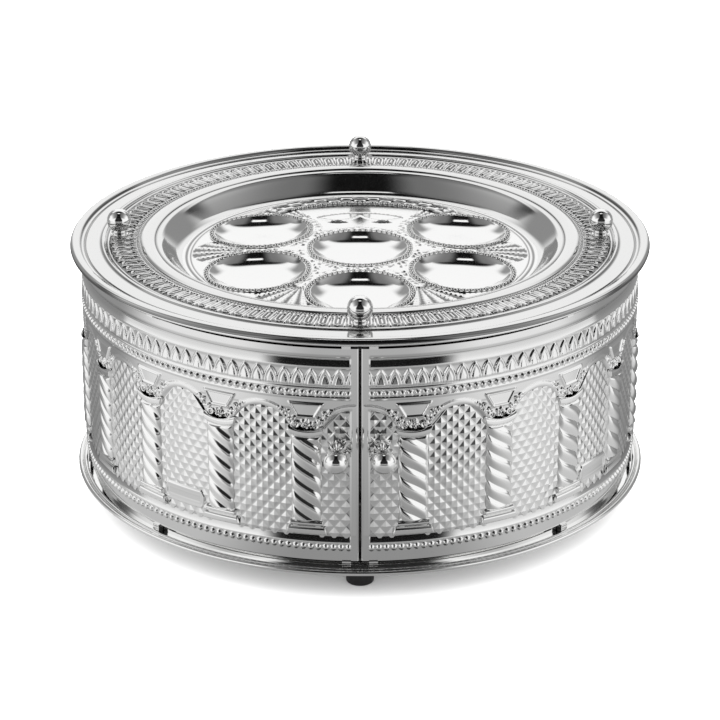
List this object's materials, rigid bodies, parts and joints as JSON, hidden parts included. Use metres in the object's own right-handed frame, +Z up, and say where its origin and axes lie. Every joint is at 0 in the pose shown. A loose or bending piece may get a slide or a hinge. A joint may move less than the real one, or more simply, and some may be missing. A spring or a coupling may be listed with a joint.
{
  "type": "seder plate",
  "caption": "Round silver-plated seder plate: a stamped tray with dish wells on a tiered matzah drum, closed in front by curved sliding doors with ball knobs.",
  "frame": {"origin": "on the drum's upright axis at table level, in the middle of the footprint of the feet", "axes": "+Z up, -Y out of the seam between the doors, +X to the right as seen from the front"},
  "size_m": [0.37, 0.3835, 0.1869],
  "materials": {
    "polished_silver": "polished silver plate, darker in the hollows of the ornament",
    "plain_steel": "satin",
    "black_rubber": "matt"
  },
  "bodies": {
    "drum": {"base_plate": "plain_steel", "base_ring": "polished_silver", "lower_shelf": "plain_steel", "upper_shelf": "plain_steel", "lower_spacers": "plain_steel", "middle_spacers": "plain_steel", "upper_spacers": "plain_steel", "rod_nuts": "plain_steel", "front_foot": "black_rubber", "right_foot": "black_rubber", "back_foot": "black_rubber", "left_foot": "black_rubber", "front_tie_rod": "plain_steel", "right_tie_rod": "plain_steel", "back_tie_rod": "plain_steel", "left_tie_rod": "plain_steel", "front_finial": "polished_silver", "right_finial": "polished_silver", "back_finial": "polished_silver", "left_finial": "polished_silver", "left_rear_wall": "polished_silver", "right_rear_wall": "polished_silver", "top_ring": "polished_silver", "seder_tray": "polished_silver"},
    "left_sliding_door": {"left_door": "polished_silver", "left_knob": "polished_silver", "left_knob_rosette": "polished_silver", "left_knob_screw": "plain_steel", "left_lower_guides": "polished_silver", "left_upper_guides": "polished_silver"},
    "right_sliding_door": {"right_door": "polished_silver", "right_knob": "polished_silver", "right_knob_rosette": "polished_silver", "right_knob_screw": "plain_steel", "right_lower_guides": "polished_silver", "right_upper_guides": "polished_silver"}
  },
  "joints": [
    {"name": "left_door_slide", "type": "hinge", "parent": "drum", "child": "left_sliding_door", "pos_m": [0, 0, 0], "axis": [0, 0, -1], "range_deg": [0, 89]},
    {"name": "right_door_slide", "type": "hinge", "parent": "drum", "child": "right_sliding_door", "pos_m": [0, 0, 0], "axis": [0, 0, 1], "range_deg": [0, 89]}
  ]
}
